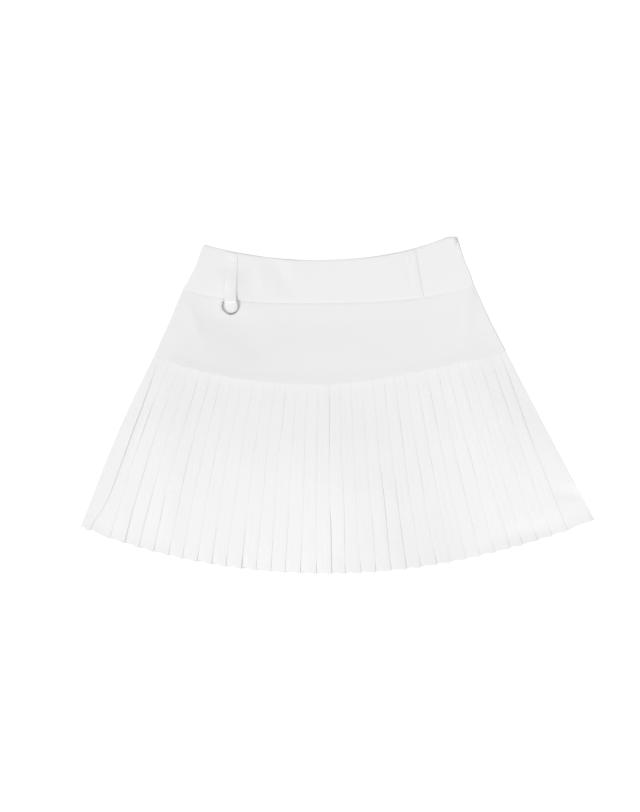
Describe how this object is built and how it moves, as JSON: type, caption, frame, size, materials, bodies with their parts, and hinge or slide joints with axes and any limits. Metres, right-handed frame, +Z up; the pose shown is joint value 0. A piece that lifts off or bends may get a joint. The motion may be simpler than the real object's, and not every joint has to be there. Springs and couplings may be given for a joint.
{
  "type": "pleated skirt",
  "caption": "Short white skirt laid flat: shaped waistband with belt loops and a metal D-ring, plain hip yoke, knife-pleated flared lower part, concealed side zip.",
  "frame": {"origin": "middle of the laid skirt's box, on the surface it lies on", "axes": "+X across the skirt, towards the side with the zip; +Y from hem to waist; +Z up, out of the front"},
  "size_m": [0.674, 0.4406, 0.0098],
  "materials": {
    "band_cloth": "smooth plain-weave white suiting, matt",
    "yoke_cloth": "smooth plain-weave white suiting, matt",
    "pleat_cloth": "plain-weave white suiting, pressed into sharp knife pleats",
    "ring_metal": "polished nickel plate",
    "zip_tape": "white woven tape with a nylon coil",
    "zip_enamel": "white enamel on die-cast metal"
  },
  "bodies": {
    "skirt": {"waistband_front": "band_cloth", "waistband_back": "band_cloth", "yoke_front": "yoke_cloth", "yoke_back": "yoke_cloth", "pleats_front": "pleat_cloth", "pleats_back": "pleat_cloth", "belt_loop_ring": "band_cloth", "belt_loop_plain": "band_cloth", "zip_tape": "zip_tape", "zip_slider": "zip_enamel"},
    "ring": {"d_ring": "ring_metal"},
    "pull": {"zip_pull": "zip_enamel"}
  },
  "joints": [
    {"name": "ring_swing", "type": "hinge", "parent": "skirt", "child": "ring", "pos_m": [-0.1396, 0.1343, 0.0074], "axis": [-1, 0, 0], "range_deg": [0, 160]},
    {"name": "pull_swing", "type": "hinge", "parent": "skirt", "child": "pull", "pos_m": [0.15526, 0.21469, 0.0055], "axis": [-0.9564, -0.2922, 0], "range_deg": [0, 175]}
  ]
}
